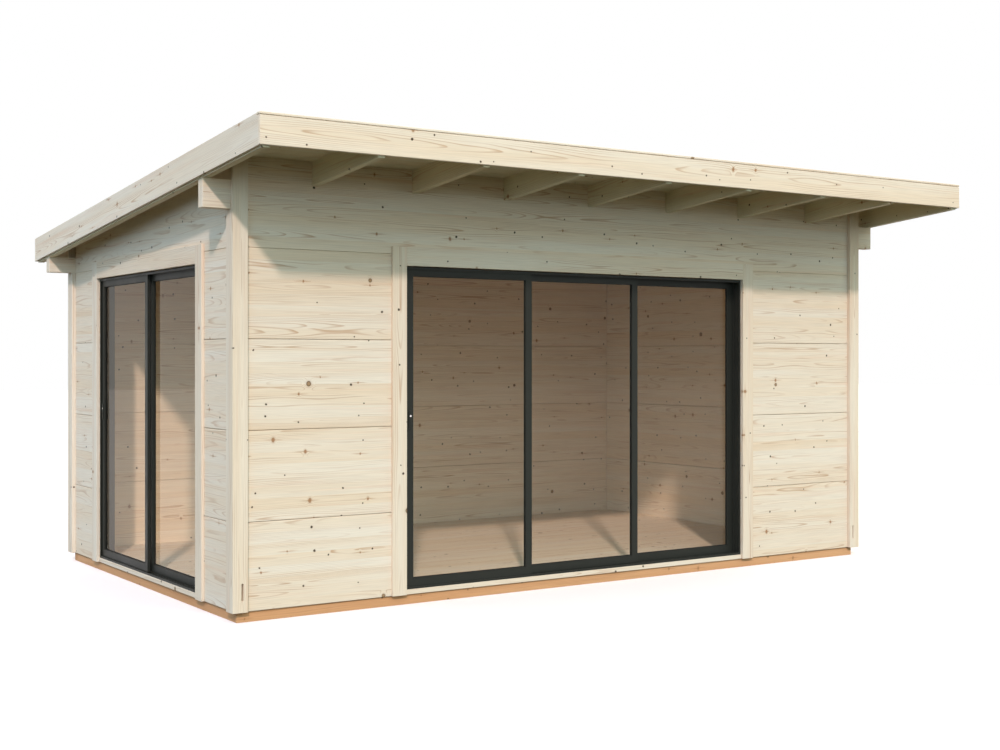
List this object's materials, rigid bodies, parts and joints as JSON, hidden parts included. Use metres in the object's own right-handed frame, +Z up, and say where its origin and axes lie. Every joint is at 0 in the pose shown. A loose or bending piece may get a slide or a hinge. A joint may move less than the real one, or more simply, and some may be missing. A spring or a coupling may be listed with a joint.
{
  "type": "garden house",
  "caption": "Timber garden house with a lean-to roof and wide overhang, glazed sliding doors at the front and at one side, on base beams.",
  "frame": {"origin": "on the ground, under the middle of the roof's outline", "axes": "+X along the front from left to right as seen from outside, +Y from front to rear, +Z up"},
  "size_m": [5.668, 4.223, 2.8554],
  "materials": {
    "spruce": "planed, untreated spruce with small dark knots",
    "brown_timber": "planed timber, impregnated brown",
    "anthracite_metal": "satin anthracite powder coat on aluminium profiles",
    "glass": "clear, slightly grey-green flat glass"
  },
  "bodies": {
    "house": {"base_front": "brown_timber", "base_left": "brown_timber", "base_rear": "brown_timber", "base_right": "brown_timber", "corner_post_front_left": "spruce", "corner_post_front_right": "spruce", "corner_post_rear_left": "spruce", "corner_post_rear_right": "spruce", "floor_boards": "spruce", "floor_joists": "brown_timber", "front_cap": "spruce", "front_casing_head": "spruce", "front_casing_sides": "spruce", "front_door_jambs": "anthracite_metal", "front_door_rails": "anthracite_metal", "front_fascia": "spruce", "front_glass_right": "glass", "front_leaf_right": "anthracite_metal", "front_sill": "spruce", "front_wall_left": "spruce", "front_wall_right": "spruce", "front_wall_top": "spruce", "left_fascia": "spruce", "left_wall_front": "spruce", "left_wall_rear": "spruce", "left_wall_top": "spruce", "rafters": "spruce", "rear_fascia": "spruce", "rear_wall": "spruce", "rear_wall_plate": "spruce", "right_fascia": "spruce", "right_wall": "spruce", "roof_boards": "spruce", "side_casing_head": "spruce", "side_casing_sides": "spruce", "side_door_jambs": "anthracite_metal", "side_door_rails": "anthracite_metal", "side_glass_front": "glass", "side_leaf_front": "anthracite_metal", "side_sill": "spruce"},
    "front_leaf_left": {"front_leaf_left": "anthracite_metal", "front_glass_left": "glass", "front_door_pull": "anthracite_metal"},
    "front_leaf_middle": {"front_leaf_middle": "anthracite_metal", "front_glass_middle": "glass"},
    "side_leaf_rear": {"side_leaf_rear": "anthracite_metal", "side_glass_rear": "glass", "side_door_pull": "anthracite_metal"}
  },
  "joints": [
    {"name": "front_leaf_left_slide", "type": "slide", "parent": "house", "child": "front_leaf_left", "axis": [1, 0, 0], "range_m": [0, 1.8753]},
    {"name": "front_leaf_middle_slide", "type": "slide", "parent": "house", "child": "front_leaf_middle", "axis": [1, 0, 0], "range_m": [0, 0.9377]},
    {"name": "side_leaf_rear_slide", "type": "slide", "parent": "house", "child": "side_leaf_rear", "axis": [0, -1, 0], "range_m": [0, 0.93]}
  ]
}
